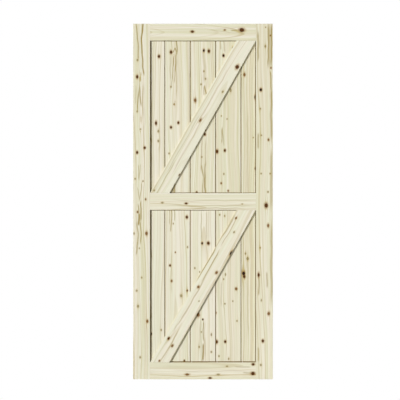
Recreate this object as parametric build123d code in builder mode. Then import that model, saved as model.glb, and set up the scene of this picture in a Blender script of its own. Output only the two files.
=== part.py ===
"""Sliding barn door slab of solid knotty pine.

Two stiles and three rails are doweled into a frame. Each of its two openings
holds a panel of tongue-and-groove planks with V-joints, and a diagonal brace
lies on the front of each panel, flush with the frame and nailed on from the
back. All sizes are in millimetres. The door's front looks towards -Y, its
width runs along X, and the origin is at the middle of its bottom edge.
"""

from build123d import *
import os
from math import acos, atan2, cos, hypot, tan

os.makedirs("parts", exist_ok=True)

# The slab: 33 in wide, 84 in high and 1 3/8 in thick
door_width = 838.2
door_height = 2133.6
door_thickness = 35.0

# Frame members, each 4 in wide on its face
stile_width = 101.6
rail_height = 101.6
arris_radius = 1.0  # every long edge is eased, so that it neither splinters nor cuts
groove_width = 6.0  # one cutter makes the grooves of the frame and of the planks
frame_groove_depth = 10.0
stub_tenon_play = 0.5  # a rail's stub tenon stops this short of the stile's groove floor

# Dowels that draw each rail up to the stiles
dowel_diameter = 10.0
dowel_length = 80.0
dowel_spacing = 50.0
dowel_chamfer = 1.0
dowel_ridges = 16  # an even number
dowel_play = 0.1  # all round, for glue
dowel_end_play = 0.5

# Panel planks
plank_thickness = 16.0
plank_cover = 152.4  # from one V-joint to the next
narrowest_plank = 40.0  # an outer plank ripped below this is left out
v_bevel = 2.4
seam_gap = 1.6  # between the shoulders of two planks
plank_tongue_length = 8.0
plank_groove_depth = 8.6
tongue_play = 0.2  # on each face of a tongue in its groove
side_gap = 2.8  # between the panel's shoulders and the stiles
side_tongue_play = 0.6  # between a tongue's tip and the groove floor in a stile or a rail above
upper_panel_head = 2.6  # between the upper planks' shoulders and the top rail
lower_panel_head = 1.6  # and between the lower planks' and the middle rail
upper_panel_foot = 1.6  # how far the upper planks' shoulders stand above the middle rail
lower_panel_foot = 4.4  # and the lower planks' above the bottom rail

# Diagonal braces
brace_width = 101.6
brace_thickness = 9.0
brace_fit = 0.3  # saw-cut clearance to the frame
brace_arris = 0.8

# Brads through the planks into the braces: flat wire with a T-shaped head and a chisel point
brad_length = 22.0
brad_width = 1.25
brad_thickness = 1.0
brad_head_width = 2.0
brad_head_thickness = 0.9
brad_point_length = 1.5
brad_play = 0.05  # all round, so that no wood is shared with the wire
brad_offset = 38.0  # from the middle of a whole plank, to either side
brad_end_distance = 45.0  # kept between a brad and the rails

# What follows from them
half_width = door_width / 2
half_opening = half_width - stile_width
opening_height = (door_height - 3 * rail_height) / 2
tongue_thickness = groove_width - 2 * tongue_play
rail_bottoms = {
    "bottom_rail": 0.0,
    "middle_rail": rail_height + opening_height,
    "top_rail": 2 * (rail_height + opening_height),
}
panel_bottoms = {
    "lower": rail_height,
    "upper": 2 * rail_height + opening_height,
}
panel_feet = {"lower": lower_panel_foot, "upper": upper_panel_foot}
panel_heads = {"lower": lower_panel_head, "upper": upper_panel_head}


def save(part, name):
    """Labels a finished piece and writes it to its own file."""
    part.label = name
    export_step(part, f"parts/{name}.step")


def plank_edges():
    """The X of every V-joint and of both stiles: whole planks are laid out from the middle of
    the door, and the outer ones are ripped to what is left."""
    room = half_opening - plank_cover / 2
    whole = max(int((room - narrowest_plank) // plank_cover), 0)
    joints = [(i + 0.5) * plank_cover for i in range(whole + 1)]
    return [-half_opening] + [-x for x in reversed(joints)] + joints + [half_opening]


def dowel_heights():
    """The height of each rail's dowels."""
    return {
        rail: [bottom + rail_height / 2 + side * dowel_spacing / 2 for side in (-1, 1)]
        for rail, bottom in rail_bottoms.items()
    }


def make_stile(side):
    """The left stile where side is -1, and the right one where it is 1."""
    inner_face = side * half_opening
    hole_depth = dowel_length / 2 + dowel_end_play
    with BuildPart() as stile:
        with BuildSketch(Plane.XY):
            with Locations((inner_face + side * stile_width / 2, 0)):
                Rectangle(stile_width, door_thickness)
            with Locations((inner_face + side * frame_groove_depth / 2, 0)):
                Rectangle(frame_groove_depth, groove_width, mode=Mode.SUBTRACT)
        extrude(amount=door_height)
        corners = stile.edges().filter_by(Axis.Z).group_by(lambda edge: abs(edge.center().Y))[-1]
        fillet(corners, arris_radius)
        holes = [
            Plane(origin=(inner_face, 0, height), z_dir=(-side, 0, 0))
            for heights in dowel_heights().values()
            for height in heights
        ]
        with Locations(*holes):
            Hole(dowel_diameter / 2 + dowel_play, depth=hole_depth)
    return stile.part


def make_rail(name):
    """A rail with a groove in each edge that holds a panel, and a stub tenon at each end."""
    bottom = rail_bottoms[name]
    middle = bottom + rail_height / 2
    grooved = [
        side
        for side, open_side in ((-1, name != "bottom_rail"), (1, name != "top_rail"))
        if open_side
    ]
    tenon_length = frame_groove_depth - stub_tenon_play
    tenon_bottom = bottom + (frame_groove_depth if -1 in grooved else 0)
    tenon_top = bottom + rail_height - (frame_groove_depth if 1 in grooved else 0)
    hole_depth = dowel_length / 2 + dowel_end_play
    with BuildPart() as rail:
        with BuildSketch(Plane.YZ.offset(-half_opening)):
            with Locations((0, middle)):
                Rectangle(door_thickness, rail_height)
            for side in grooved:
                with Locations((0, middle + side * (rail_height - frame_groove_depth) / 2)):
                    Rectangle(groove_width, frame_groove_depth, mode=Mode.SUBTRACT)
        extrude(amount=2 * half_opening)
        corners = rail.edges().filter_by(Axis.X).group_by(lambda edge: abs(edge.center().Y))[-1]
        fillet(corners, arris_radius)
        with BuildSketch(Plane.YZ.offset(-half_opening - tenon_length)):
            with Locations((0, (tenon_bottom + tenon_top) / 2)):
                Rectangle(tongue_thickness, tenon_top - tenon_bottom)
        extrude(amount=2 * (half_opening + tenon_length))
        holes = [
            Plane(origin=(side * (half_opening + tenon_length), 0, height), z_dir=(side, 0, 0))
            for side in (-1, 1)
            for height in dowel_heights()[name]
        ]
        with Locations(*holes):
            Hole(dowel_diameter / 2 + dowel_play, depth=hole_depth + tenon_length)
    return rail.part


def make_dowels(name):
    """The four ridged dowels of one rail, each half in the rail and half in a stile. Two regular
    polygons, the second turned by half a side, give the ridges of a dowel's section."""
    starts = [
        Plane(origin=(side * half_opening - dowel_length / 2, 0, height), z_dir=(1, 0, 0))
        for side in (-1, 1)
        for height in dowel_heights()[name]
    ]
    with BuildPart() as dowels:
        with BuildSketch(*starts):
            for turn in (0, 360 / dowel_ridges):
                RegularPolygon(dowel_diameter / 2, dowel_ridges // 2, rotation=turn)
        extrude(amount=dowel_length)
        chamfer(dowels.faces().filter_by(Axis.X).edges(), dowel_chamfer)
    return dowels.part


def make_plank(panel, left, right):
    """One plank, from the V-joint or stile at left to the one at right. It has a tongue on its
    right edge and on both ends, and a groove in its left edge, where the outermost plank has a
    tongue for the stile."""
    first = left == -half_opening
    last = right == half_opening
    face_left = left + (side_gap if first else seam_gap / 2)
    face_right = right - (side_gap if last else seam_gap / 2)
    face_bottom = panel_bottoms[panel] + panel_feet[panel]
    face_top = panel_bottoms[panel] + opening_height - panel_heads[panel]
    frame_reach = frame_groove_depth - side_tongue_play
    tongue_left = left - frame_reach if first else face_left
    tongue_right = right + frame_reach if last else face_right + plank_tongue_length
    tongue_bottom = panel_bottoms[panel] - frame_groove_depth
    tongue_top = panel_bottoms[panel] + opening_height + frame_reach
    with BuildPart() as plank:
        with BuildSketch(Plane.XZ.offset(-plank_thickness / 2)):
            with Locations(((face_left + face_right) / 2, (face_bottom + face_top) / 2)):
                Rectangle(face_right - face_left, face_top - face_bottom)
        extrude(amount=plank_thickness)
        faces = plank.faces().filter_by(Axis.Y)
        chamfer(faces.edges(), v_bevel)
        with BuildSketch(Plane.XZ.offset(-tongue_thickness / 2)):
            with Locations(((tongue_left + tongue_right) / 2, (tongue_bottom + tongue_top) / 2)):
                Rectangle(tongue_right - tongue_left, tongue_top - tongue_bottom)
        extrude(amount=tongue_thickness)
        if not first:
            with BuildSketch(Plane.XZ.offset(-groove_width / 2)):
                with Locations((face_left + plank_groove_depth / 2, (tongue_bottom + tongue_top) / 2)):
                    Rectangle(plank_groove_depth, tongue_top - tongue_bottom)
            extrude(amount=groove_width, mode=Mode.SUBTRACT)
        heads = [place for place in brad_heads(panel) if left < place.origin.X < right]
        with Locations(*heads):
            add(brad_hole, mode=Mode.SUBTRACT)
    return plank.part


def brace_lean():
    """How far a brace leans from upright, in radians, where it fills its opening from the bottom
    left corner to the top right one and both its ends lie along the rails."""
    opening_width = 2 * half_opening
    return acos(brace_width / hypot(opening_width, opening_height)) - atan2(
        opening_height, opening_width
    )


def brad_heads(panel):
    """The planes of one brace's brads, on the back of the planks and facing away from them: two
    brads in each whole plank, on the brace's middle line, and one in each outer plank, kept clear
    of the rail."""
    edges = plank_edges()
    middle = panel_bottoms[panel] + opening_height / 2
    reach = opening_height / 2 - brad_end_distance
    heads = []
    for left, right in zip(edges, edges[1:]):
        outer = left == edges[0] or right == edges[-1]
        for offset in (0,) if outer else (-brad_offset, brad_offset):
            x = (left + right) / 2 + offset
            z = middle + max(-reach, min(reach, x / tan(brace_lean())))
            heads.append(Plane(origin=(x, plank_thickness / 2, z), z_dir=(0, 1, 0)))
    return heads


def make_brad(play=0):
    """A brad that points down -Z with its head's top at the origin, or the hole for it where it
    gets some play."""
    head = brad_head_width / 2 + play
    leg = brad_width / 2 + play
    shoulder = brad_head_thickness + play
    with BuildPart() as brad:
        with BuildSketch(Plane.XZ):
            with BuildLine():
                Polyline(
                    (0, play),
                    (head, play),
                    (head, -shoulder),
                    (leg, -shoulder),
                    (leg, brad_point_length - brad_length),
                    (0, -brad_length - play),
                )
                mirror(about=Plane.YZ)
            make_face()
        extrude(amount=brad_thickness / 2 + play, both=True)
    return brad.part


def make_brace(panel):
    """A diagonal brace on the front of a panel, cut level along the rails at both ends."""
    bottom = panel_bottoms[panel]
    top = bottom + opening_height
    cut = brace_width / cos(brace_lean())
    with BuildPart() as brace:
        with BuildSketch(Plane.XZ.offset(plank_thickness / 2)):
            with BuildLine():
                Polyline(
                    (-half_opening, bottom),
                    (-half_opening + cut, bottom),
                    (half_opening, top),
                    (half_opening - cut, top),
                    close=True,
                )
            make_face()
            offset(amount=-brace_fit, kind=Kind.INTERSECTION)
        extrude(amount=brace_thickness)
        fillet(brace.faces().sort_by(Axis.Y)[0].edges(), brace_arris)
        with Locations(*brad_heads(panel)):
            add(brad_hole, mode=Mode.SUBTRACT)
    return brace.part


def make_brads(panel):
    """The brads of one brace."""
    with BuildPart() as brads:
        with Locations(*brad_heads(panel)):
            add(brad)
    return brads.part


brad = make_brad()
brad_hole = make_brad(brad_play)
for name, side in (("left_stile", -1), ("right_stile", 1)):
    save(make_stile(side), name)
for name in rail_bottoms:
    save(make_rail(name), name)
    save(make_dowels(name), f"{name}_dowels")
for panel in panel_bottoms:
    edges = plank_edges()
    for number, (left, right) in enumerate(zip(edges, edges[1:]), start=1):
        save(make_plank(panel, left, right), f"{panel}_plank_{number}")
    save(make_brace(panel), f"{panel}_brace")
    save(make_brads(panel), f"{panel}_brace_brads")
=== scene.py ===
# %% [markdown]
# # A sliding barn door in knotty pine
#
# The door is a frame of two stiles and three rails around two panels of V-jointed planks, with a
# diagonal brace across each panel. Its boards are already modelled as real pieces, so the work here is
# their wood. Every board gets its own growth rings, streaks and knots, because that is what makes a
# pine door look like pine: no two boards match, and the grain always runs along the board.

# %% Load the door
import bpy
import math
import numpy as np
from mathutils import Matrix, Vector


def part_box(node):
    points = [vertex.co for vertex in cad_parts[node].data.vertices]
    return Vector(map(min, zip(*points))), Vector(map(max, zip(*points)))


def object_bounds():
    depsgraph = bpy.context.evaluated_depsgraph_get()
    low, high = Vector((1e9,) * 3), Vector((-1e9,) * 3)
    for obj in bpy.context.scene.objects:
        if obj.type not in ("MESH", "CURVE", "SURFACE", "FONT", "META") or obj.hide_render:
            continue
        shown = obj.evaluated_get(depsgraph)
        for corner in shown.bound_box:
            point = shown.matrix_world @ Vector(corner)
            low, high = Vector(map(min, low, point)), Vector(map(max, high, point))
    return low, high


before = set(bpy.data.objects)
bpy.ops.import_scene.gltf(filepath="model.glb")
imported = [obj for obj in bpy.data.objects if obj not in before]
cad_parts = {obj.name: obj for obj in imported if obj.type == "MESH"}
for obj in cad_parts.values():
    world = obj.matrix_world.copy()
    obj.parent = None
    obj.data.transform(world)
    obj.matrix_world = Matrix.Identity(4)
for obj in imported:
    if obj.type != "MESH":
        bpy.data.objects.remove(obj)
door_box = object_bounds()
door_low, door_high = door_box
millimetre = 0.001
print("door from", tuple(door_low), "to", tuple(door_high))

# %% [markdown]
# ## Colours
#
# Blender's shaders work in linear light, but a colour is easiest to judge on the screen's own scale of
# 0 to 255. One small function turns the second into the first, and the colours of the wood are named
# here once.

# %% Turn screen colours into linear ones
def linear(red, green, blue):
    """A screen colour in linear light: below 4 percent a straight line, above it the power 2.4."""
    screen = np.array([red, green, blue]) / 255
    light = np.where(screen <= 0.04045, screen / 12.92, ((screen + 0.055) / 1.055) ** 2.4)
    return (*light, 1.0)


sapwood = linear(228, 226, 213)
straw = linear(212, 208, 180)
rosy_sapwood = linear(226, 215, 200)
green_sapwood = linear(214, 217, 188)
latewood = linear(168, 146, 66)
stain_colours = {"olive": linear(144, 121, 34), "tan": linear(140, 112, 34)}
resin_tan = linear(184, 156, 82)
resin_rust = linear(128, 84, 30)
# painted shade: colours blended over the V-joints of the planks and the sides of the braces, standing in
# for shade there
painted_joint_shade = linear(124, 94, 24)
painted_brace_side_shade = linear(196, 182, 146)
rim_brown = linear(34, 18, 8)
knot_kinds = {  # each with its colour, how dark it is, how strong its halo is, and how hollow
    "black": (linear(40, 24, 12), 1.0, 0.75, 0.0),
    "red": (linear(84, 48, 12), 0.98, 0.7, 0.0),
    "brown": (linear(122, 82, 30), 0.88, 0.6, 0.0),
    "olive": (linear(128, 116, 60), 0.68, 0.35, 0.0),
    "eye": (linear(150, 130, 62), 0.36, 0.16, 1.0),
}
print("sapwood in linear light", [round(float(part), 3) for part in sapwood])

# %% [markdown]
# ## Arithmetic with nodes
#
# A procedural material is a formula, and a formula reads better as code than as forty separate lines of
# node making. This little class writes nodes into a tree and hands back their outputs, so that a sum of
# two outputs is one call. A value that is already an output is linked, and a plain number is typed in.

# %% Write formulas as nodes
class Recipe:
    """Writes a formula into a node tree. Each method adds a node and returns its output."""

    def __init__(self, tree):
        self.tree = tree

    def node(self, kind, **settings):
        made = self.tree.nodes.new(f"ShaderNode{kind}")
        for name, value in settings.items():
            setattr(made, name, value)
        return made

    def feed(self, socket, value):
        """Links an output to the socket, or types a number or a colour into it."""
        if isinstance(value, bpy.types.NodeSocket):
            self.tree.links.new(value, socket)
        else:
            socket.default_value = value

    def math(self, operation, *values):
        made = self.node("Math", operation=operation)
        for socket, value in zip(made.inputs, values):
            self.feed(socket, value)
        return made.outputs[0]

    def plus(self, first, second):
        return self.math("ADD", first, second)

    def minus(self, first, second):
        return self.math("SUBTRACT", first, second)

    def times(self, first, second):
        return self.math("MULTIPLY", first, second)

    def over(self, first, second):
        return self.math("DIVIDE", first, second)

    def rise(self, value, low, high):
        """0 below low, 1 above high, and an S-curve between. With low above high it falls."""
        made = self.node("MapRange", interpolation_type="SMOOTHSTEP")
        for name, number in (("Value", value), ("From Min", low), ("From Max", high)):
            self.feed(made.inputs[name], number)
        return made.outputs["Result"]

    def vector(self, x, y, z):
        made = self.node("CombineXYZ")
        for socket, value in zip(made.inputs, (x, y, z)):
            self.feed(socket, value)
        return made.outputs[0]

    def parts(self, vector):
        made = self.node("SeparateXYZ")
        self.feed(made.inputs[0], vector)
        return made.outputs

    def length(self, x, y):
        """The distance from the origin to the point x, y."""
        squares = self.plus(self.times(x, x), self.times(y, y))
        return self.math("SQRT", squares)

    def noise(self, vector, detail=2.0):
        """Cloudy noise from 0 to 1 that varies by about one blob for each unit of the vector."""
        made = self.node("TexNoise", noise_dimensions="3D")
        self.feed(made.inputs["Vector"], vector)
        made.inputs["Scale"].default_value = 1.0
        made.inputs["Detail"].default_value = detail
        return made.outputs["Fac"]

    def noise_along(self, value, detail=1.0):
        """Noise from 0 to 1 along a line."""
        made = self.node("TexNoise", noise_dimensions="1D")
        self.feed(made.inputs["W"], value)
        made.inputs["Scale"].default_value = 1.0
        made.inputs["Detail"].default_value = detail
        return made.outputs["Fac"]

    def blend(self, factor, first, second):
        """The first colour where the factor is 0 and the second where it is 1."""
        made = self.node("Mix", data_type="RGBA")
        self.feed(made.inputs[0], factor)
        self.feed(made.inputs[6], first)
        self.feed(made.inputs[7], second)
        return made.outputs[2]


print("recipe methods:", [name for name in vars(Recipe) if not name.startswith("_")])

# %% [markdown]
# ## Node groups
#
# A board has many knots, and all of them follow one formula. Written out each time, the formula would
# fill thousands of nodes. As a node group it is written once, and every use of it is one node with
# numbers of its own.

# %% Make and use node groups
def new_group(name, takes, gives):
    """A node group with the given inputs and outputs, as pairs of a name and a kind of socket."""
    group = bpy.data.node_groups.new(name, "ShaderNodeTree")
    for in_out, sockets in (("INPUT", takes), ("OUTPUT", gives)):
        for socket_name, kind in sockets:
            group.interface.new_socket(socket_name, in_out=in_out, socket_type=f"NodeSocket{kind}")
    recipe = Recipe(group)
    inside = group.nodes.new("NodeGroupInput").outputs
    outside = group.nodes.new("NodeGroupOutput").inputs
    return group, recipe, inside, outside


def use_group(recipe, group, values):
    """Adds the group to a recipe, feeds it by name and returns its outputs."""
    made = recipe.node("Group", node_tree=group)
    for name, value in values.items():
        recipe.feed(made.inputs[name], value)
    return made.outputs


def numbers(*names):
    """Sockets that hold one number each, by name."""
    return [(name, "Float") for name in names]


print("sockets are given as", numbers("Radius", "Stretch"))

# %% [markdown]
# ## Knots
#
# A knot is where a branch was. The grain parts around it as water parts around a stone, the wood beside
# it is darker and resinous, and the knot itself is dense and brown with fine rings of its own. A picture
# of a knot would only sit on top of the grain. Here a knot is a formula instead: it gives back how far
# it pushes the grain aside, and the rings are drawn after that push, so they flow around it. Each knot
# takes in what the knots before it gave and adds its own share.

# %% Make the knot group
carried = numbers("Shift", "Near", "Core", "Halo") + [("Knot colour", "Color")]
knot_group, knot, given, result = new_group(
    "pine knot",
    [("Place", "Vector")]
    + numbers("Rough", "Across", "Along", "Radius", "Stretch", "Darkness", "Glow", "Hollow")
    + [("Tint", "Color")] + carried,
    carried,
)
outline_play = 0.4  # the share of the radius by which the noise lets it vary
core_edge = (1.08, 0.74)  # the core sets in from the first distance to the second, in radii
hollow_edge = (0.92, 0.55)  # and in a hollow knot it stops again here
halo_edge = (2.3, 0.7)
colour_edge = (1.4, 1.3)
rim_edge = (0.45, 1.0)
rim_share = 0.72  # how far the rim goes from the knot's colour to the rim's brown
halo_length = 1.35  # the halo is this many times as long as the knot
bend_length = 3.0  # and the bend in the grain this many times
ring_rate = 14.0  # the knot's own rings, in radians to the radius


def knot_formula():
    """The distance from the knot's middle, q, is counted in radii of an outline that noise roughens.
    The core is 1 near the middle and falls off at q = 1, and a hollow knot is only a loop there. The
    halo is the square of a slope that falls off over the next radius. The push on the grain is that of
    a flow around a post: the distance across, divided by 1 plus the square of the distance in radii on
    a longer ellipse, because grain bends slowly. Near is 1 at the knot and falls off in the same way.
    The knot's own colour darkens towards its rim and along rings, which are a sine of q."""
    place = knot.parts(given["Place"])
    across = knot.minus(place[0], given["Across"])
    along = knot.minus(place[2], given["Along"])
    squeezed = knot.over(along, given["Stretch"])
    wobble = knot.plus(1.0 - outline_play / 2, knot.times(given["Rough"], outline_play))
    q = knot.over(knot.times(knot.length(across, squeezed), wobble), given["Radius"])
    loop = knot.minus(1.0, knot.times(given["Hollow"], knot.rise(q, *hollow_edge)))
    core = knot.times(knot.times(knot.rise(q, *core_edge), loop), given["Darkness"])
    stretched = knot.times(knot.length(across, knot.over(squeezed, halo_length)), wobble)
    halo = knot.rise(knot.over(stretched, given["Radius"]), *halo_edge)
    halo = knot.times(knot.times(halo, halo), given["Glow"])
    reach = knot.over(knot.length(across, knot.over(squeezed, bend_length)), given["Radius"])
    fade = knot.plus(1.0, knot.times(reach, reach))
    push = knot.over(across, fade)
    rings = knot.times(knot.rise(knot.math("SINE", knot.times(q, ring_rate)), 0.0, 1.0), 0.5)
    rim = knot.math("MAXIMUM", knot.rise(q, *rim_edge), rings)
    rim = knot.times(rim, knot.times(given["Darkness"], rim_share))
    tint = knot.blend(rim, given["Tint"], rim_brown)
    knot.feed(result["Shift"], knot.plus(given["Shift"], push))
    near = knot.over(1.6, knot.plus(0.6, fade))
    knot.feed(result["Near"], knot.math("MAXIMUM", given["Near"], near))
    knot.feed(result["Core"], knot.math("MAXIMUM", given["Core"], core))
    knot.feed(result["Halo"], knot.math("MAXIMUM", given["Halo"], halo))
    own = knot.rise(q, *colour_edge)
    knot.feed(result["Knot colour"], knot.blend(own, given["Knot colour"], tint))


knot_formula()
print("knot group:", len(knot_group.nodes), "nodes")

# %% [markdown]
# ## Streaks
#
# Where a growth ring is wide or holds resin, it shows as one long soft line that is darker than the
# rest, and a few of them together make the pointed flames of a board. Rings alone would put such lines
# anywhere, so the ones that the door shows are placed one by one. A streak runs along the board for a
# stated length, leans a little, wavers, and fades out at both ends. Three streaks are painted shadow
# instead: one along the first plank of each panel beside the left stile, and one by the upper brace's
# foot.

# %% Make the streak group
streak_group, streak, given_streak, streak_result = new_group(
    "resin streak and painted shadow",
    [("Place", "Vector")]
    + numbers("Waver", "Across", "Along", "Half width", "Half length", "Slope", "Strength", "Stain"),
    numbers("Stain"),
)
side_edge = (1.5, 0.1)  # the stain sets in from the first to the second, in half widths
end_edge = (1.1, 0.65)  # and in half lengths


def streak_formula():
    """The line's middle is at the stated place across the board, plus its slope times the distance
    along it, plus the waver. The stain falls off from there to both sides and over the last third of
    the half length, and of two streaks that cross, the stronger one shows."""
    place = streak.parts(given_streak["Place"])
    along = streak.minus(place[2], given_streak["Along"])
    middle = streak.plus(given_streak["Across"], streak.times(along, given_streak["Slope"]))
    middle = streak.plus(middle, given_streak["Waver"])
    sideways = streak.math("ABSOLUTE", streak.minus(place[0], middle))
    beside = streak.rise(streak.over(sideways, given_streak["Half width"]), *side_edge)
    lengthways = streak.math("ABSOLUTE", along)
    ends = streak.rise(streak.over(lengthways, given_streak["Half length"]), *end_edge)
    stain = streak.times(streak.times(beside, ends), given_streak["Strength"])
    streak.feed(streak_result["Stain"], streak.math("MAXIMUM", given_streak["Stain"], stain))


streak_formula()
print("streak group:", len(streak_group.nodes), "nodes")

# %% [markdown]
# ## Growth rings
#
# A trunk is a stack of cones, and a board is a flat cut through it. So the rings of a board are found by
# asking how far each point is from the pith, the line down the middle of the trunk. Where the pith lies
# close behind the face the rings come out as wide arches, and where it lies far away they are straight
# fine lines. A wave texture would be quicker, but it draws the same lines on every side of the board.
# This formula works in all three directions, so it also draws the arcs on the end of the board.

# %% Make the growth ring group
ring_group, ring, given_ring, ring_result = new_group(
    "pine rings",
    [("Place", "Vector")]
    + numbers("Shift", "Pith across", "Pith depth", "Ring width", "Taper", "Seed"),
    numbers("Late", "Broad", "Hue", "Fine", "Fibre"),
)
sway_rate = 1.3  # blobs of noise to the metre
sway_size = 30 * millimetre
swirl_size = 12 * millimetre
latewood_start = (0.58, 0.92)  # in shares of a ring
latewood_stop = (1.0, 0.96)
year_rate = 3.7  # a step in the noise from ring to ring, so that each year has its own darkness
year_edge = (0.25, 0.75)
figures = {  # blobs of noise to the metre across the board and along it, and the noise's detail
    "Broad": (85.0, 0.7, 3.0),
    "Hue": (70.0, 1.0, 1.0),
    "Fine": (330.0, 1.6, 2.0),
    "Fibre": (800.0, 14.0, 3.0),
}


def ring_formula():
    """Late is how much dark latewood a point has. The radius is the distance to the pith, plus the
    taper times the height, plus a slow wander. Radius over ring width counts the rings, up to three
    of them early or late by chance, and within each ring the wood darkens slowly and then stops at
    once, in some years more than in others. Broad and Hue are slow changes of tone
    from one band to the next, Fine is thin lines a few millimetres apart, and Fibre is the silk of
    the planed surface: noise that is drawn out along the board."""
    across, depth, along = ring.parts(given_ring["Place"])
    seed = given_ring["Seed"]
    height = ring.plus(along, seed)
    flowing = ring.minus(across, given_ring["Shift"])
    sway = ring.times(ring.minus(ring.noise_along(ring.times(height, sway_rate)), 0.5), sway_size)
    flowing = ring.plus(flowing, sway)

    def drawn_out(sideways, lengthways, detail):
        """Noise with so many blobs to the metre across the board and along it."""
        stretched = ring.vector(ring.times(flowing, sideways), ring.times(depth, sideways),
                                ring.times(height, lengthways))
        return ring.noise(stretched, detail)

    aside = ring.minus(flowing, given_ring["Pith across"])
    behind = ring.minus(depth, given_ring["Pith depth"])
    radius = ring.plus(ring.length(aside, behind), ring.times(along, given_ring["Taper"]))
    swirl = ring.minus(drawn_out(14.0, 1.4, detail=2.0), 0.5)
    radius = ring.plus(radius, ring.times(swirl, swirl_size))
    count = ring.over(radius, given_ring["Ring width"])
    uneven = ring.noise_along(ring.plus(ring.times(count, 0.35), seed), detail=2.0)
    count = ring.plus(count, ring.times(uneven, 3.0))
    phase = ring.math("FRACT", count)
    dark_half = ring.times(ring.rise(phase, *latewood_start), ring.rise(phase, *latewood_stop))
    year = ring.noise_along(ring.plus(ring.times(ring.math("FLOOR", count), year_rate), seed))
    ring.feed(ring_result["Late"], ring.times(dark_half, ring.rise(year, *year_edge)))
    for figure, (sideways, lengthways, detail) in figures.items():
        ring.feed(ring_result[figure], drawn_out(sideways, lengthways, detail))


ring_formula()
print("ring group:", len(ring_group.nodes), "nodes")

# %% [markdown]
# ## A board's own directions
#
# Grain runs along a board, whichever way the board itself runs. Turning the texture by hand for each
# board would be easy to get wrong. Instead, every point is turned into metres across, into and along its
# own board, and so are the knots and streaks. Those are written down where they are on the door, in
# millimetres from the middle of the door's bottom edge, because that is how a person would measure them.

# %% Turn places on the door into places on a board
def board_place(wood, middle, lean):
    """The shaded point in metres from the board's middle, across, into and along a board that leans
    by an angle: the door's own coordinates, moved to the middle and turned back by the lean."""
    mapping = wood.node("Mapping", vector_type="TEXTURE")
    wood.feed(mapping.inputs["Vector"], wood.node("TexCoord").outputs["Object"])
    mapping.inputs["Location"].default_value = middle
    mapping.inputs["Rotation"].default_value = (0, lean, 0)
    return mapping.outputs[0]


def board_directions(middle, lean):
    """A function from a place on the door in millimetres to metres across and along the board, which
    are its two coordinates turned about the board's middle."""

    def turned(x, height):
        right, up = x * millimetre - middle.x, height * millimetre - middle.z
        across = right * math.cos(lean) - up * math.sin(lean)
        along = right * math.sin(lean) + up * math.cos(lean)
        return across, along

    return turned


stile_middle = sum(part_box("left_stile"), Vector()) / 2
print("a knot in the left stile", board_directions(stile_middle, 0.0)(-395, 1815))

# %% [markdown]
# ## Knots and streaks on a board
#
# The knots of a board are one chain of knot groups, and its streaks are one chain of streak groups. The
# chains end in a few values that the colour and the grain then use. A knot's distance is measured
# across and along the board only, so it goes through to the back, as a branch does.

# %% Put knots and streaks on a board
rough_rate = (110.0, 60.0, 110.0)  # blobs to the metre across, into and along the board
waver_rate = 9.0
waver_size = 12 * millimetre


def add_knots(wood, place, turned, seed, knots):
    """What the knots of a board give together. Each is written as x, height, radius, stretch, kind."""
    across, depth, along = wood.parts(place)
    rough_place = wood.vector(wood.times(across, rough_rate[0]), wood.times(depth, rough_rate[1]),
                              wood.plus(wood.times(along, rough_rate[2]), seed))
    rough = wood.noise(rough_place)
    passed = {name: 0.0 for name, kind in carried}
    passed["Knot colour"] = knot_kinds["brown"][0]
    for x, height, radius, stretch, kind in knots:
        tint, darkness, glow, hollow = knot_kinds[kind]
        knot_across, knot_along = turned(x, height)
        passed = dict(use_group(wood, knot_group, {
            **passed, "Place": place, "Rough": rough, "Across": knot_across, "Along": knot_along,
            "Radius": radius * millimetre, "Stretch": stretch, "Darkness": darkness, "Glow": glow,
            "Hollow": hollow, "Tint": tint,
        }).items())
    return passed


def add_streaks(wood, place, turned, seed, streaks):
    """How stained a board is by its streaks, from 0 to 1. Each is written as x, height, half width,
    half length, slope and strength, and all of them waver alike."""
    along = wood.parts(place)[2]
    waver = wood.minus(wood.noise_along(wood.plus(wood.times(along, waver_rate), seed)), 0.5)
    waver = wood.times(waver, waver_size)
    stained = 0.0
    for x, height, half_width, half_length, slope, strength in streaks:
        streak_across, streak_along = turned(x, height)
        stained = use_group(wood, streak_group, {
            "Place": place, "Waver": waver, "Across": streak_across, "Along": streak_along,
            "Half width": half_width * millimetre, "Half length": half_length * millimetre,
            "Slope": slope, "Strength": strength, "Stain": stained,
        })["Stain"]
    return stained


print("kinds of knot:", list(knot_kinds))

# %% [markdown]
# ## The colour of the wood
#
# Pine isn't one brown with lines on it. Broad bands of paler and straw-coloured wood lie under the
# rings, some a little rosy and some a little green, and the rings, the resin and the knots come on top.
# So the colour is built up in that order, and each layer is blended over the one before.

# %% Colour the wood
straw_share = 0.85
hue_share = 0.25
line_share = 0.62
line_share_near_knots = 0.45
band_edge = (0.42, 0.22)  # where straw sets in, for a board with a tone of 0
band_shift = 0.4  # and how far a tone of 1 moves that
hue_edge = (0.38, 0.62)
comb_edge = (0.2, 0.52)
rust_edge = (0.25, 0.75)
# the painted shade on a board's sides sets in at the first depth below the face, is full at the second,
# and covers this share
side_start = 0.1 * millimetre
side_full = 1.6 * millimetre
side_share = 0.92


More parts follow.
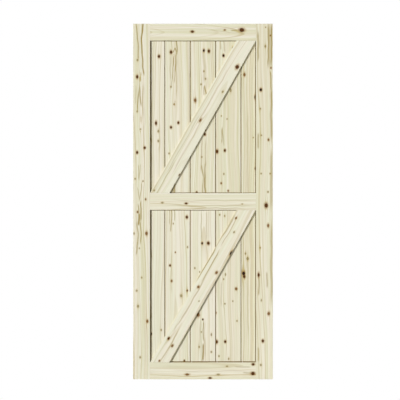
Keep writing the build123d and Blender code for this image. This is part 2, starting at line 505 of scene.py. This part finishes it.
def wood_colour(wood, grain, passed, stained, stain, tone, contrast):
    """Sapwood turns to straw in bands, takes a quarter of a rosy or greenish hue, and gets latewood
    lines, which are stronger near knots. The stain is combed by the fine lines, so that it looks like
    wood and not like paint. The halos of the knots go from tan to rust, and their cores come last."""
    pale, full = [edge + band_shift * tone for edge in band_edge]
    shady = wood.rise(grain["Broad"], pale, full)
    colour = wood.blend(wood.times(shady, straw_share * contrast), sapwood, straw)
    hue = wood.blend(wood.rise(grain["Hue"], *hue_edge), rosy_sapwood, green_sapwood)
    colour = wood.blend(hue_share, colour, hue)
    lines = wood.plus(line_share * contrast, wood.times(passed["Near"], line_share_near_knots))
    colour = wood.blend(wood.times(grain["Late"], lines), colour, latewood)
    combed = wood.rise(grain["Fine"], *comb_edge)
    colour = wood.blend(wood.times(stained, combed), colour, stain_colours[stain])
    resin = wood.blend(wood.rise(passed["Halo"], *rust_edge), resin_tan, resin_rust)
    colour = wood.blend(passed["Halo"], colour, resin)
    return wood.blend(passed["Core"], colour, passed["Knot colour"])


def paint_shade_on_sides(wood, place, half_thickness, colour, painted_side_shade):
    """Painted shade below the faces of a board, in its joints and on its sides: the depth below the nearer
    face is half the thickness less the distance from the board's middle, and the painted shade sets in
    with it."""
    depth = wood.parts(place)[1]
    below = wood.minus(half_thickness, wood.math("ABSOLUTE", depth))
    sunk = wood.rise(below, side_start, side_full)
    return wood.blend(wood.times(sunk, side_share), colour, painted_side_shade)


print("straw sets in at", band_edge, "on a pale board")

# %% [markdown]
# ## The planed surface
#
# Planed pine is nearly matt. The latewood stands up by a hair, and the fibres catch the light as silk
# does, so the same grain that gives the colour also gives a little bump, gloss and brightness. A bump
# is enough, because the real relief is a tenth of a millimetre.

# %% Give the wood its surface
bump_depth = 0.15 * millimetre
plain_roughness = 0.62


def wood_surface(wood, grain, passed, colour):
    """The colour is scaled by the fibres and the fine lines, and the bump and the roughness follow the
    fibres too. The cores of the knots are harder, so they are a little glossier."""
    silk = wood.plus(wood.times(grain["Fibre"], 0.12), wood.times(grain["Fine"], 0.14))
    shaded = wood.node("VectorMath", operation="SCALE")
    wood.feed(shaded.inputs[0], colour)
    wood.feed(shaded.inputs["Scale"], wood.plus(0.87, silk))
    bump = wood.node("Bump")
    bump.inputs["Strength"].default_value = 0.5
    bump.inputs["Distance"].default_value = bump_depth
    relief = wood.plus(wood.times(grain["Late"], 0.6), wood.times(grain["Fibre"], 0.8))
    wood.feed(bump.inputs["Height"], relief)
    surface = wood.node("BsdfPrincipled")
    wood.feed(surface.inputs["Base Color"], shaded.outputs[0])
    roughness = wood.plus(plain_roughness, wood.times(grain["Fibre"], 0.16))
    wood.feed(surface.inputs["Roughness"], wood.minus(roughness, wood.times(passed["Core"], 0.18)))
    surface.inputs["Specular IOR Level"].default_value = 0.12
    wood.feed(surface.inputs["Normal"], bump.outputs[0])
    output = wood.node("OutputMaterial")
    wood.feed(output.inputs["Surface"], surface.outputs[0])


print("the surface follows", list(figures)[2:])

# %% [markdown]
# ## One pine material for each board
#
# The boards share the formulas and differ in their numbers: which way the board runs, where its pith
# lay, how pale it is, and which knots and streaks it has. What is left to chance starts from a seed that
# is the sum of the letters in the board's name, so that no two boards match and every run is the same.

# %% Build a board's material
ring_width = 8 * millimetre


def pine(name, middle, half_thickness, pith, knots, streaks, lean=0.0, stain="olive", tone=0.5,
         contrast=1.0, taper=0.012, painted_side_shade=None):
    """The material of one board, whose grain leans by an angle. The pith is given as millimetres across
    and behind the board's middle, and the knots and streaks as places on the door. The painted side shade
    is a colour blended over the board's edges and joints below its faces, as painted shade."""
    material = bpy.data.materials.new(name)
    material.use_nodes = True
    material.node_tree.nodes.clear()
    wood = Recipe(material.node_tree)
    turned = board_directions(middle, lean)
    seed = float(sum(map(ord, name)) % 97)

    place = board_place(wood, middle, lean)
    passed = add_knots(wood, place, turned, seed, knots)
    stained = add_streaks(wood, place, turned, seed, streaks)
    grain = use_group(wood, ring_group, {
        "Place": place, "Shift": passed["Shift"], "Pith across": pith[0] * millimetre,
        "Pith depth": pith[1] * millimetre, "Ring width": ring_width, "Taper": taper, "Seed": seed,
    })
    colour = wood_colour(wood, grain, passed, stained, stain, tone, contrast)
    if painted_side_shade:
        colour = paint_shade_on_sides(wood, place, half_thickness, colour, painted_side_shade)
    wood_surface(wood, grain, passed, colour)
    return material


print("rings across a stile:", round(2 * (stile_middle.x - door_low.x) / ring_width, 1))

# %% [markdown]
# ## The stiles
#
# The two uprights run the full height. Their pith lay to one side, so their rings are fine lines that
# turn into long arches near that edge. The left one shows flames of resin along its outer half, and the
# right one dark olive lines close to its outer edge. Such figure can't be left to chance, so every knot
# and streak is listed with its place.

# %% List what the stiles show
boards = {
    "left_stile": dict(
        pith=(-66, 45), tone=0.42,
        knots=[
            (-393, 1915, 6, 1.2, "olive"), (-395, 1815, 8, 1.2, "red"), (-395, 1607, 5, 1.2, "olive"),
            (-375, 1501, 5, 1.0, "olive"), (-350, 1389, 7, 1.1, "red"), (-395, 1361, 7, 1.2, "red"),
            (-407, 1203, 5, 1.2, "olive"), (-360, 1189, 5, 1.0, "olive"), (-344, 1080, 5, 1.2, "brown"),
            (-393, 1004, 5, 1.2, "brown"), (-339, 875, 8, 1.3, "brown"), (-414, 875, 6, 1.3, "olive"),
            (-368, 610, 5, 1.2, "olive"), (-398, 532, 6, 1.2, "olive"), (-390, 438, 7, 1.2, "olive"),
            (-334, 348, 7, 1.3, "brown"), (-377, 132, 6, 1.2, "olive"), (-382, 786, 4, 1.2, "olive"),
            (-375, 1834, 6, 1.3, "eye"), (-378, 1797, 7, 1.6, "eye"), (-372, 1560, 6, 2.5, "eye"),
        ],
        streaks=[
            (-394, 2058, 4, 85, -0.1, 0.7), (-389, 1965, 4, 50, 0.0, 0.7),
            (-365, 2085, 5, 75, 0.1, 1.0), (-368, 2000, 5, 65, -0.05, 1.0),
            (-361, 1895, 5, 75, -0.08, 0.9), (-387, 1690, 4, 90, 0.09, 0.8),
            (-376, 1705, 4, 70, -0.1, 0.8), (-360, 1670, 4, 105, 0.02, 0.45),
            (-402, 1705, 4, 60, 0.0, 0.3), (-385, 1240, 3, 50, -0.06, 0.6),
            (-378, 1245, 3, 50, 0.08, 0.6), (-388, 1110, 3, 45, -0.2, 0.6),
            (-375, 1125, 3, 60, 0.13, 0.7), (-373, 1010, 4, 65, 0.0, 0.9),
            (-386, 1000, 4, 55, -0.04, 0.8), (-384, 960, 6, 40, 0.0, 1.0),
            (-391, 875, 4, 75, -0.05, 0.7), (-394, 790, 4, 45, 0.12, 0.7),
            (-373, 880, 4, 75, 0.0, 0.7), (-352, 1500, 3, 300, 0.0, 0.25),
        ],
    ),
    "right_stile": dict(
        pith=(-80, 50), tone=0.6, contrast=0.8,
        knots=[
            (404, 2063, 4, 1.2, "brown"), (408, 1868, 5, 1.2, "brown"),
            (376, 2112, 4, 1.0, "olive"), (374, 1998, 6, 1.3, "olive"), (347, 1737, 8, 1.1, "black"),
            (344, 1624, 5, 1.1, "olive"), (350, 1464, 5, 1.0, "olive"), (393, 1437, 6, 1.2, "brown"),
            (349, 1234, 5, 1.0, "olive"), (403, 1234, 5, 1.0, "olive"), (390, 1124, 6, 1.0, "olive"),
            (379, 1043, 11, 1.2, "red"), (391, 922, 7, 1.5, "brown"), (343, 789, 5, 1.0, "olive"),
            (334, 626, 7, 1.7, "red"), (394, 394, 8, 1.2, "brown"), (350, 474, 4, 2.0, "olive"),
            (359, 230, 8, 1.1, "red"), (347, 86, 6, 1.2, "olive"),
        ],
        streaks=[
            (392, 2005, 4, 140, 0.0, 1.0), (411, 2005, 4, 140, 0.0, 1.0), (402, 2000, 8, 130, 0.0, 0.45),
            (407, 1790, 4, 65, -0.03, 0.9), (409, 1590, 8, 170, 0.0, 0.5), (411, 1590, 4, 180, 0.0, 0.9),
            (410, 1200, 9, 190, 0.0, 0.5), (411, 700, 9, 260, 0.0, 0.5), (331, 1998, 6, 95, 0.0, 0.6),
            (331, 1430, 6, 50, 0.0, 0.6), (332, 150, 6, 45, 0.0, 0.55), (383, 597, 6, 50, 0.0, 0.5),
            (334, 560, 5, 60, 0.0, 0.7),
        ],
    ),
}
print({name: len(board["knots"]) for name, board in boards.items()})

# %% [markdown]
# ## The rails
#
# The three rails lie between the stiles and their grain runs level, which is a lean of a quarter turn.
# The top rail was sawn from a strongly tapered log, so its rings run out at its edges in wide arches.

# %% List what the rails show
level = math.pi / 2
boards |= {
    "top_rail": dict(
        lean=level, pith=(3, 30), taper=0.07,
        knots=[(-64, 2086, 8, 1.1, "red"), (233, 2096, 13, 1.1, "red"), (130, 2096, 5, 1.2, "brown")],
        streaks=[
            (195, 2096, 4, 30, 0.0, 0.6), (130, 2106, 2, 90, -0.09, 0.4), (130, 2086, 2, 90, 0.09, 0.4),
        ],
    ),
    "middle_rail": dict(
        lean=level, pith=(35, 50), contrast=0.6,
        knots=[(-101, 1055, 6, 1.3, "red"), (-244, 1060, 6, 1.3, "olive"), (235, 1052, 4, 1.2, "olive")],
        streaks=[
            (60, 1072, 3, 260, 0.0, 0.3), (40, 1041, 3, 270, 0.0, 0.45), (90, 1026, 3, 160, 0.0, 0.5),
        ],
    ),
    "bottom_rail": dict(
        lean=level, pith=(-30, 55), tone=0.62, contrast=0.65, stain="tan",
        knots=[
            (-95, 29, 7, 1.6, "brown"), (91, 29, 6, 1.7, "olive"), (42, 8, 6, 1.4, "red"),
            (301, 90, 8, 1.0, "red"), (300, 35, 11, 1.0, "red"), (144, 78, 5, 1.2, "olive"),
        ],
        streaks=[(238, 74, 4, 50, 0.0, 0.4), (60, 50, 3, 250, 0.0, 0.25), (268, 38, 5, 30, 0.1, 0.4)],
    ),
}
print({name: len(board["knots"]) for name, board in boards.items()})

# %% [markdown]
# ## The planks
#
# Each panel has five planks, and the outermost ones are ripped narrow. In the upper panel, planks 2 to 4
# show arches and resin flames. Plank 1 is calm, and the dark streak along its edge beside the stile is
# painted shadow that widens the stile's shadow there.

# %% List what the upper planks show
boards |= {
    "upper_plank_1": dict(
        pith=(60, 70), tone=0.45, contrast=0.5,
        knots=[
            (-264, 1937, 8, 1.1, "red"), (-282, 1537, 7, 1.6, "red"), (-268, 1489, 6, 1.4, "olive"),
            (-268, 1430, 6, 1.4, "olive"),
        ],
        # the last streak is painted shadow from the left stile, along the plank's edge
        streaks=[(-262, 1450, 5, 90, 0.0, 0.3), (-315, 1541, 6, 500, 0.0, 1.0)],
    ),
    "upper_plank_2": dict(
        pith=(-10, 42), tone=0.4,
        knots=[
            (-192, 1963, 8, 1.2, "red"), (-192, 1755, 5, 1.2, "olive"), (-173, 1650, 5, 1.1, "brown"),
            (-148, 1539, 7, 1.1, "red"), (-192, 1512, 7, 1.1, "red"), (-204, 1355, 5, 1.2, "olive"),
            (-175, 1942, 6, 1.4, "eye"), (-168, 1655, 7, 2.0, "eye"),
        ],
        streaks=[
            (-189, 2010, 3, 30, 0.0, 0.4), (-159, 1998, 4, 45, 0.0, 0.9),
            (-178, 1974, 3, 18, 0.45, 0.9), (-165, 1970, 3, 21, -0.38, 0.9),
            (-177, 1890, 3, 50, 0.0, 0.9), (-185, 1800, 3, 65, 0.14, 0.7),
            (-163, 1905, 3, 65, 0.0, 0.9), (-168, 1830, 3, 55, 0.1, 0.6),
            (-194, 1870, 5, 80, 0.0, 0.35), (-158, 1810, 4, 120, 0.0, 0.4),
            # the last streak is painted shadow in the corner by the foot of the upper brace
            (-178, 1140, 14, 45, 0.0, 0.9),
        ],
    ),
    "upper_plank_3": dict(
        pith=(6, 40), tone=0.4,
        knots=[
            (5, 1972, 6, 1.4, "black"), (35, 1969, 8, 1.2, "red"), (5, 1848, 5, 1.2, "olive"),
            (15, 1803, 5, 1.2, "olive"), (-12, 1770, 5, 1.2, "olive"), (-47, 1674, 8, 1.4, "brown"),
            (11, 1470, 7, 1.1, "red"), (15, 1495, 4, 1.2, "brown"), (-7, 1334, 5, 1.1, "olive"),
            (-38, 1122, 6, 1.0, "red"),
        ],
        streaks=[
            (-8, 1345, 4, 110, 0.02, 0.5), (-2, 1240, 4, 55, -0.12, 0.75), (-1, 1165, 4, 55, 0.05, 0.65),
            (15, 1345, 4, 95, 0.02, 0.8), (11, 1245, 5, 65, 0.07, 0.95), (11, 1165, 5, 55, -0.09, 1.0),
            (8, 1735, 3, 32, 0.1, 0.7), (17, 1730, 4, 38, -0.15, 0.9), (6, 1880, 9, 110, 0.0, 0.3),
        ],
    ),
    "upper_plank_4": dict(
        pith=(-15, 48),
        knots=[
            (123, 1942, 7, 1.1, "black"), (179, 1988, 6, 1.6, "olive"), (144, 1562, 4, 1.1, "olive"),
            (110, 1580, 4, 1.1, "olive"), (84, 1367, 9, 1.1, "red"), (131, 1373, 7, 1.1, "red"),
            (125, 1232, 5, 1.2, "olive"), (109, 1176, 5, 1.1, "brown"), (151, 1131, 5, 1.2, "brown"),
            (166, 1734, 6, 2.0, "olive"),
        ],
        streaks=[
            (127, 2005, 4, 45, 0.0, 0.7), (105, 2010, 4, 35, 0.0, 0.5), (114, 1465, 3, 50, 0.03, 0.8),
            (121, 1455, 3, 58, -0.1, 0.8),
        ],
    ),
    "upper_plank_5": dict(
        pith=(70, 60), tone=0.58,
        knots=[
            (249, 1828, 7, 1.5, "brown"), (302, 1450, 4, 1.0, "olive"), (314, 1694, 6, 2.0, "black"),
            (314, 1265, 4, 1.8, "black"),
        ],
        streaks=[(268, 1350, 6, 260, 0.0, 0.25)],
    ),
}
print({name: len(board["knots"]) for name, board in boards.items() if "upper" in name})

# %% [markdown]
# ## The lower planks
#
# The lower panel is calmer. The pith of its planks lay farther off, so their rings are straighter and
# fainter, plank 1 is almost clear wood, and only planks 2 and 3 show short flames.

# %% List what the lower planks show
boards |= {
    "lower_plank_1": dict(
        pith=(90, 90), tone=0.4, contrast=0.45,
        knots=[(-251, 296, 5, 1.2, "olive"), (-311, 272, 5, 1.4, "black")],
        # painted shadow from the left stile, along the plank's edge
        streaks=[(-315, 559, 6, 500, 0.0, 1.0)],
    ),
    "lower_plank_2": dict(
        pith=(-12, 60), tone=0.35, contrast=0.55,
        knots=[
            (-97, 973, 8, 1.1, "red"), (-166, 762, 4, 1.1, "brown"), (-198, 683, 6, 1.1, "red"),
            (-188, 590, 6, 1.2, "brown"), (-131, 501, 8, 1.2, "olive"), (-95, 532, 5, 1.1, "red"),
            (-93, 793, 5, 1.2, "olive"), (-112, 112, 5, 1.1, "red"), (-178, 934, 4, 1.3, "olive"),
        ],
        streaks=[
            (-188, 985, 3, 42, 0.0, 0.75), (-191, 925, 4, 42, 0.1, 0.6), (-171, 985, 3, 38, 0.0, 0.75),
            (-200, 975, 3, 50, 0.0, 0.5), (-190, 640, 4, 130, 0.0, 0.25),
        ],
    ),
    "lower_plank_3": dict(
        pith=(4, 55), tone=0.4, contrast=0.6,
        knots=[
            (-5, 816, 6, 1.1, "black"), (32, 816, 9, 1.0, "red"), (-49, 667, 5, 1.2, "olive"),
            (-20, 644, 4, 1.2, "olive"), (-29, 387, 10, 1.2, "brown"), (-1, 359, 5, 1.0, "black"),
            (-10, 284, 4, 1.2, "olive"), (50, 268, 5, 1.8, "olive"), (50, 164, 6, 1.0, "olive"),
            (-23, 194, 5, 1.2, "olive"),
        ],
        streaks=[
            (-10, 925, 3, 95, 0.0, 0.55), (21, 925, 3, 95, 0.0, 0.55), (3, 290, 3, 65, 0.0, 0.9),
            (0, 162, 5, 55, 0.0, 0.9), (-4, 150, 3, 50, 0.05, 0.5), (-12, 240, 4, 115, 0.0, 0.35),
            (12, 240, 3, 115, 0.0, 0.35), (34, 925, 3, 95, 0.0, 0.3),
        ],
    ),
    "lower_plank_4": dict(
        pith=(-85, 65), tone=0.65, contrast=0.55,
        knots=[
            (100, 987, 5, 1.2, "olive"), (130, 980, 5, 1.2, "olive"), (199, 543, 8, 1.0, "brown"),
            (135, 629, 4, 2.0, "olive"), (124, 601, 4, 1.4, "olive"), (179, 469, 4, 1.2, "olive"),
            (131, 453, 5, 1.0, "olive"), (77, 399, 5, 1.4, "brown"), (204, 350, 5, 1.1, "olive"),
            (81, 225, 9, 1.1, "red"), (133, 226, 7, 1.1, "red"), (96, 139, 5, 1.2, "olive"),
            (154, 123, 5, 1.5, "olive"),
        ],
        streaks=[(111, 513, 4, 80, 0.0, 0.4)],
    ),
    "lower_plank_5": dict(
        pith=(70, 60), tone=0.6,
        knots=[
            (244, 635, 10, 1.2, "black"), (247, 617, 8, 1.2, "red"), (268, 724, 8, 1.2, "olive"),
            (255, 754, 5, 1.2, "olive"),
        ],
        streaks=[(268, 500, 6, 260, 0.0, 0.3)],
    ),
}
print({name: len(board["knots"]) for name, board in boards.items() if "lower" in name})

# %% [markdown]
# ## The braces
#
# The braces are cut to a slant at their ends, but their grain runs straight along them. So their grain
# leans as they do, and their knots are ovals that lie along the lean.

# %% List what the braces show
brace_lean = math.radians(29.54)  # from upright, to the right
boards |= {
    "upper_brace": dict(
        lean=brace_lean, pith=(30, 90), tone=0.4, contrast=0.5,
        knots=[
            (205, 1874, 11, 1.1, "red"), (118, 1725, 6, 1.2, "olive"), (-16, 1554, 6, 1.8, "brown"),
            (-141, 1226, 5, 1.2, "red"), (-293, 1133, 5, 1.2, "olive"),
        ],
        streaks=[
            (60, 1700, 4, 200, 0.0, 0.35), (-80, 1420, 4, 220, 0.0, 0.4), (-120, 1410, 4, 230, 0.01, 0.35),
            (-230, 1200, 4, 140, 0.0, 0.4),
        ],
    ),
    "lower_brace": dict(
        lean=brace_lean, pith=(-12, 70), tone=0.4, contrast=0.6,
        knots=[
            (198, 967, 6, 1.2, "brown"), (164, 961, 6, 1.2, "olive"), (186, 883, 6, 1.2, "olive"),
            (169, 757, 7, 1.9, "black"), (81, 640, 8, 1.1, "brown"), (-28, 554, 7, 1.2, "brown"),
            (-24, 469, 4, 1.2, "olive"), (-206, 245, 7, 1.2, "red"), (-184, 201, 7, 1.2, "brown"),
            (-262, 111, 5, 1.2, "brown"),
        ],
        streaks=[
            (20, 690, 4, 125, 0.02, 0.8), (44, 675, 4, 120, -0.02, 0.7), (-60, 480, 4, 150, 0.0, 0.5),
            (130, 880, 4, 130, 0.03, 0.55), (160, 890, 3, 110, -0.02, 0.5), (-120, 380, 4, 120, 0.03, 0.5),
            (-200, 200, 4, 120, 0.0, 0.5),
        ],
    ),
}
print({name: len(board["knots"]) for name, board in boards.items() if "brace" in name})

# %% [markdown]
# ## Dress the boards
#
# Each board keeps its own shape and only gets its material. The sides of a plank are the V-joints, which
# get a painted brown shade below the face. The sides of a brace get a milder painted shade, which tones
# down the light that the lamp throws on them.

# %% Give each board its wood
def dress(node, material):
    """Gives a node's object one material in place of its own."""
    node.data.materials.clear()
    node.data.materials.append(material)


# painted shade for the joints of the planks and the sides of the braces
painted_side_shades = {"plank": painted_joint_shade, "brace": painted_brace_side_shade}
for name, board in boards.items():
    low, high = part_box(name)
    half_thickness = (high - low).y / 2
    painted_side_shade = painted_side_shades.get(name.split("_")[1])
    wood = pine(f"{name}_pine", (low + high) / 2, half_thickness, painted_side_shade=painted_side_shade, **board)
    dress(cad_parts[name], wood)
print(len(boards), "boards dressed")

# %% [markdown]
# ## Dowels and brads
#
# The dowels are beech, which is close-grained and pinkish, and the brads are bright drawn wire. Nobody
# sees the dowels until the door is taken apart, and of the brads only the small flat heads on the back
# show. A plain colour would do from a distance, but both still get the grain and the gloss that they
# have, from one fine noise each.

# %% Make beech and steel
def beech():
    """Close-grained pinkish wood: fine noise drawn out along the dowel, between two browns."""
    material = bpy.data.materials.new("beech")
    material.use_nodes = True
    wood = Recipe(material.node_tree)
    surface = material.node_tree.nodes["Principled BSDF"]
    x, y, z = wood.parts(wood.node("TexCoord").outputs["Object"])
    flecks = wood.vector(wood.times(x, 60.0), wood.times(y, 900.0), wood.times(z, 900.0))
    fleck = wood.noise(flecks, detail=3.0)
    colour = wood.blend(wood.rise(fleck, 0.35, 0.65), linear(205, 168, 128), linear(224, 192, 154))
    wood.feed(surface.inputs["Base Color"], colour)
    wood.feed(surface.inputs["Roughness"], wood.plus(0.5, wood.times(fleck, 0.2)))
    return material


def bright_steel():
    """Drawn wire: plain metal whose gloss changes a little from place to place."""
    material = bpy.data.materials.new("bright_steel")
    material.use_nodes = True
    steel = Recipe(material.node_tree)
    surface = material.node_tree.nodes["Principled BSDF"]
    x, y, z = steel.parts(steel.node("TexCoord").outputs["Object"])
    scratches = steel.vector(steel.times(x, 3000.0), steel.times(y, 400.0), steel.times(z, 3000.0))
    marks = steel.noise(scratches)
    colour = steel.blend(marks, linear(168, 166, 160), linear(196, 194, 188))
    steel.feed(surface.inputs["Base Color"], colour)
    surface.inputs["Metallic"].default_value = 1.0
    steel.feed(surface.inputs["Roughness"], steel.plus(0.3, steel.times(marks, 0.2)))
    return material


finishes = {"dowels": beech(), "brads": bright_steel()}
for name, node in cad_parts.items():
    for ending, material in finishes.items():
        if name.endswith(ending):
            dress(node, material)
print("finished", [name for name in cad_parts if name.endswith(tuple(finishes))])

# %% [markdown]
# ## Floor
#
# The door is shown on white. A white floor under plain light renders grey, and more light would bleach
# the door. So the floor is a pale plane that also glows a little, for the camera alone: it looks white
# and keeps the door's soft shadow, and the door gets no light from the glow.

# %% Lay the floor
floor_size = 40.0
floor_grey = (0.8, 0.8, 0.8, 1.0)
floor_glow = 0.75
corners = np.array([(-1, -1), (1, -1), (1, 1), (-1, 1)]) * floor_size / 2
floor_mesh = bpy.data.meshes.new("floor")
floor_mesh.from_pydata([(x, y, door_low.z) for x, y in corners], [], [(0, 1, 2, 3)])
floor = bpy.data.objects.new("floor", floor_mesh)
bpy.context.scene.collection.objects.link(floor)


def seen_directly(recipe):
    """1 for a ray that the eye follows to the background: from the camera, or by way of gloss or
    glass."""
    path = recipe.node("LightPath").outputs
    seen = recipe.math("MAXIMUM", path["Is Camera Ray"], path["Is Glossy Ray"])
    return recipe.math("MAXIMUM", seen, path["Is Transmission Ray"])


def floor_white():
    """Matt white plus a glow that only the camera sees."""
    material = bpy.data.materials.new("floor_white")
    material.use_nodes = True
    material.node_tree.nodes.clear()
    paint = Recipe(material.node_tree)
    matt = paint.node("BsdfDiffuse")
    matt.inputs["Color"].default_value = floor_grey
    glow = paint.node("Emission")
    paint.feed(glow.inputs["Strength"], paint.times(seen_directly(paint), floor_glow))
    both = paint.node("AddShader")
    paint.feed(both.inputs[0], matt.outputs[0])
    paint.feed(both.inputs[1], glow.outputs[0])
    paint.feed(paint.node("OutputMaterial").inputs["Surface"], both.outputs[0])
    return material


floor.data.materials.append(floor_white())
print("floor at height", door_low.z)

# %% [markdown]
# ## Background
#
# The world is white to the camera in the same way. To the door it is a weak, slightly warm light from
# all sides, as the light in a room is once it has been off other things, and that keeps the shadows
# brown instead of grey.

# %% Set the world
world_light = 0.17
warm_light = (1.0, 0.9, 0.58, 1.0)
white = (1.0, 1.0, 1.0, 1.0)
world = bpy.data.worlds.new("studio")
world.use_nodes = True
bpy.context.scene.world = world
sky = Recipe(world.node_tree)
background = world.node_tree.nodes["Background"]
seen = seen_directly(sky)
sky.feed(background.inputs["Color"], sky.blend(seen, warm_light, white))
sky.feed(background.inputs["Strength"], sky.plus(world_light, sky.times(seen, 1.0 - world_light)))
bpy.context.scene.view_settings.view_transform = "Standard"
print("world light", world_light)

# %% [markdown]
# ## Lamps
#
# One soft lamp stands to the left and a little above, which draws the thin shadows to the right of the
# left stile and of the braces. A weaker one behind lights the back, so that the door can be walked
# around. Suns are used rather than lamps at a place, because their light is the same over the whole
# door, and the softness of a shadow is then one angle.

# %% Hang the lamps
def sun(name, towards, strength, softness):
    """A distant lamp that shines in a direction, with the softness as an angle in degrees."""
    light = bpy.data.lights.new(name, "SUN")
    light.energy = strength
    light.angle = math.radians(softness)
    lamp = bpy.data.objects.new(name, light)
    lamp.rotation_mode = "QUATERNION"
    lamp.rotation_quaternion = Vector(towards).to_track_quat("-Z", "Y")
    bpy.context.scene.collection.objects.link(lamp)
    return lamp


key_light = sun("key_light", (1.25, 1.0, -0.36), strength=3.7, softness=15.0)
back_light = sun("back_light", (-0.5, -1.0, -0.6), strength=2.3, softness=20.0)
print("lamps:", key_light.name, back_light.name)

# %% [markdown]
# ## Camera
#
# The door is seen square from the front and without any convergence, so the camera is orthographic. The
# picture is 400 pixels wide and the door fills 355 of them in height, a little below and to the right of
# the middle.

# %% Place the camera
picture_pixels = 400
pixel_size = 6.0 * millimetre
door_middle_pixels = (203.0, 201.5)
camera_distance = 6.0
camera_data = bpy.data.cameras.new("camera")
camera_data.type = "ORTHO"
camera_data.ortho_scale = picture_pixels * pixel_size
camera = bpy.data.objects.new("camera", camera_data)
middle = (door_low + door_high) / 2
aside = (door_middle_pixels[0] - picture_pixels / 2) * pixel_size
above = (door_middle_pixels[1] - picture_pixels / 2) * pixel_size
camera.location = (middle.x - aside, -camera_distance, middle.z + above)
camera.rotation_euler = (math.pi / 2, 0.0, 0.0)
bpy.context.scene.collection.objects.link(camera)
bpy.context.scene.camera = camera
print("camera at", tuple(camera.location))

# %% [markdown]
